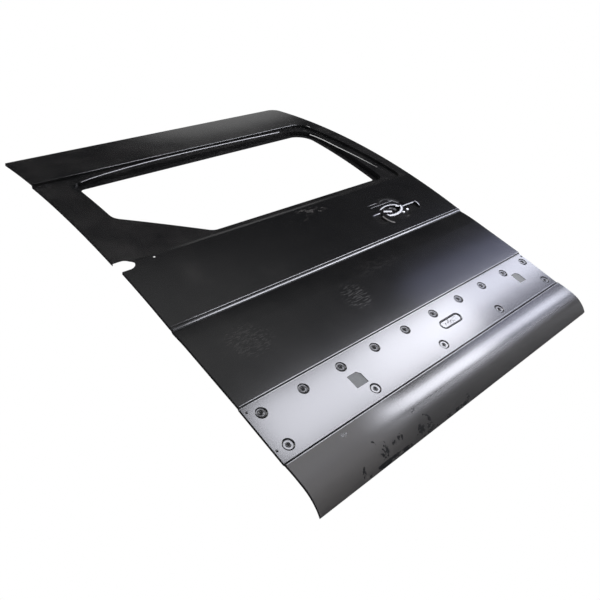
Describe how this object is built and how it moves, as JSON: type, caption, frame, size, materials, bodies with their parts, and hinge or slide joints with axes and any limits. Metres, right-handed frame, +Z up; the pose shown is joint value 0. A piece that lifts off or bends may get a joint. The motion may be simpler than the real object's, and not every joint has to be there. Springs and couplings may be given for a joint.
{
  "type": "van sliding door outer skin",
  "caption": "Pressed steel outer skin of a small van's sliding door: window opening with rebate, roller notch, handle recess, trim recess with clip holes and a tucked-in sill.",
  "frame": {"origin": "on the flat underside of the bottom flange, at mid width and in the middle of the flange's depth", "axes": "+X to the front of the van, -Y to the outside, +Z up along the height of the door"},
  "size_m": [0.876, 0.1378, 1.1336],
  "materials": {
    "black_coat": "satin black primer coat",
    "grey_patch": "matt grey sealing patch",
    "black_patch": "matt black sealing patch"
  },
  "bodies": {
    "root": {"rebate_top": "black_coat", "rebate_top_corner": "black_coat", "rebate_front": "black_coat", "rebate_bottom": "black_coat", "rebate_rear": "black_coat", "rebate_diagonal": "black_coat", "handle_dish": "black_coat", "handle_rear_seat": "black_coat", "handle_front_seat": "black_coat", "window_header": "black_coat", "window_ramp": "black_coat", "front_pillar": "black_coat", "rear_pillar": "black_coat", "rear_pillar_foot": "black_coat", "roof_band": "black_coat", "front_strip": "black_coat", "waist_panel_rear": "black_coat", "waist_panel_middle": "black_coat", "handle_panel": "black_coat", "waist_bead": "black_coat", "middle_panel": "black_coat", "trim_recess": "black_coat", "sill_panel": "black_coat", "bottom_flange": "black_coat", "rear_flange_lower": "black_coat", "rear_flange_upper": "black_coat", "front_flange": "black_coat", "top_flange": "black_coat", "rear_hole_patch": "grey_patch", "front_hole_patch": "grey_patch", "handle_rear_patch": "black_patch", "handle_front_patch": "black_patch"}
  },
  "joints": []
}
